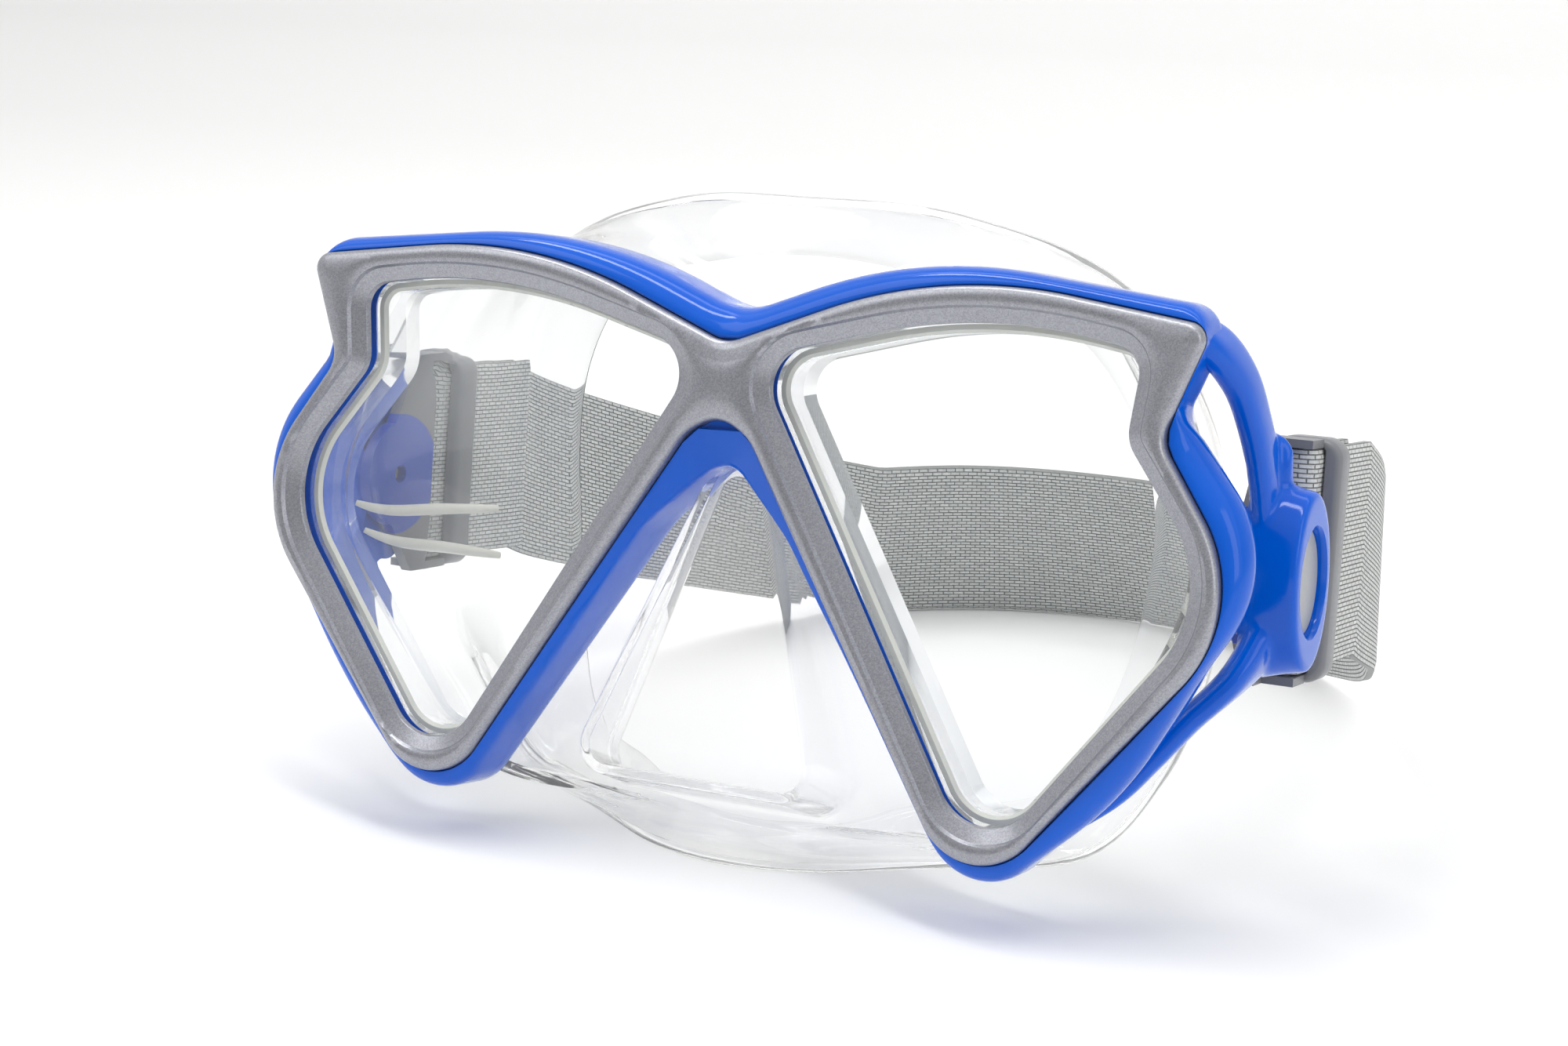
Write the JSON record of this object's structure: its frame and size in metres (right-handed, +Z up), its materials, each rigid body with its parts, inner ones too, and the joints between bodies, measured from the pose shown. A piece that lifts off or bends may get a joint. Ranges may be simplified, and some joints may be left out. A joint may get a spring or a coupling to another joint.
{
  "type": "diving mask",
  "caption": "Two-window low-volume diving mask: rigid frame with side arms, tempered lenses, silicone skirt with nose pocket, and an elastic strap on swivelling quick-release buckles.",
  "frame": {"origin": "in the flat bead under the skirt's chin, on which the mask stands, on the mirror plane", "axes": "+Z up; +Y towards the wearer, so the windows face -Y; +X towards the wearer's left side, the image's right"},
  "size_m": [0.174, 0.1746, 0.1025],
  "materials": {
    "blue_plastic": "polished blue polycarbonate",
    "silver_plastic": "plastic with silver metallic paint",
    "lens_glass": "clear tempered glass",
    "silicone": "clear silicone with a cream tint",
    "strap_webbing": "grey ribbed elastic webbing",
    "grey_plastic": "satin grey acetal",
    "spring_steel": "stainless steel"
  },
  "bodies": {
    "mask": {"main_frame": "blue_plastic", "lens_retainer": "silver_plastic", "lens_right": "lens_glass", "lens_left": "lens_glass", "skirt": "silicone", "hub_plate_right": "blue_plastic", "hub_plate_left": "blue_plastic", "button_spring_right": "spring_steel", "button_spring_left": "spring_steel"},
    "strap_assembly": {"strap": "strap_webbing", "swivel_buckle_right": "grey_plastic", "swivel_buckle_left": "grey_plastic", "strap_bar_right": "spring_steel", "strap_bar_left": "spring_steel"},
    "keeper_right": {"strap_keeper_right": "grey_plastic"},
    "button_right": {"release_button_right": "grey_plastic"},
    "keeper_left": {"strap_keeper_left": "grey_plastic"},
    "button_left": {"release_button_left": "grey_plastic"}
  },
  "joints": [
    {"name": "strap_swing", "type": "hinge", "parent": "mask", "child": "strap_assembly", "pos_m": [0, 0.026, 0.051], "axis": [1, 0, 0], "range_deg": [-10, 20]},
    {"name": "keeper_slide_right", "type": "slide", "parent": "strap_assembly", "child": "keeper_right", "axis": [0, 0.9903, -0.1392], "range_m": [0, 0.015]},
    {"name": "button_press_right", "type": "slide", "parent": "mask", "child": "button_right", "axis": [-1, 0, 0], "range_m": [0, 0.0015], "stiffness_N_per_m": 150, "springref_m": -0.002, "deforming": ["button_spring_right"]},
    {"name": "keeper_slide_left", "type": "slide", "parent": "strap_assembly", "child": "keeper_left", "axis": [0, 0.9903, -0.1392], "range_m": [0, 0.015]},
    {"name": "button_press_left", "type": "slide", "parent": "mask", "child": "button_left", "axis": [1, 0, 0], "range_m": [0, 0.0015], "stiffness_N_per_m": 150, "springref_m": -0.002, "deforming": ["button_spring_left"]}
  ]
}
